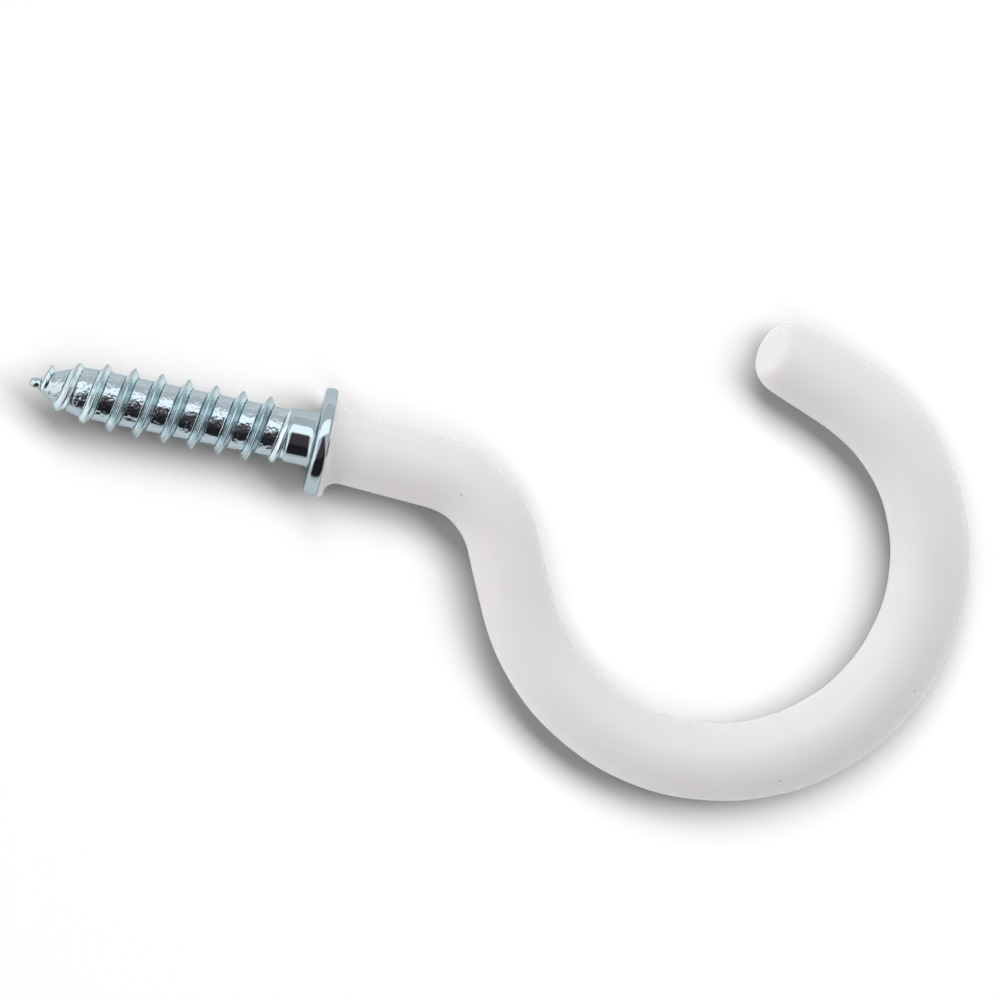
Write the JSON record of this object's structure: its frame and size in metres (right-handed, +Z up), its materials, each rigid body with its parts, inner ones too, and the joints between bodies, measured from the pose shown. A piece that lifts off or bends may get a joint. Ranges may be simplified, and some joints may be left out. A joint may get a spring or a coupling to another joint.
{
  "type": "screw hook",
  "caption": "Round screw hook: a plated steel wire hook with a wood screw thread and a flat collar, its hook dipped in white vinyl.",
  "frame": {"origin": "centre of the collar's seat, the flat annular face that meets the wood, on the screw's axis", "axes": "+X along the screw's axis, out of the wood towards the hook, so that the thread lies at -X; the hook bends in the XY plane and its mouth faces +Y; +Z is up when the hook lies flat on its side"},
  "size_m": [0.0549, 0.0281, 0.0063],
  "materials": {
    "plated_steel": "bright zinc plate, rolled thread, cool grey",
    "white_vinyl": "dipped white vinyl, satin gloss, slightly wavy"
  },
  "bodies": {
    "root": {"steel_hook": "plated_steel", "vinyl_coating": "white_vinyl"}
  },
  "joints": []
}
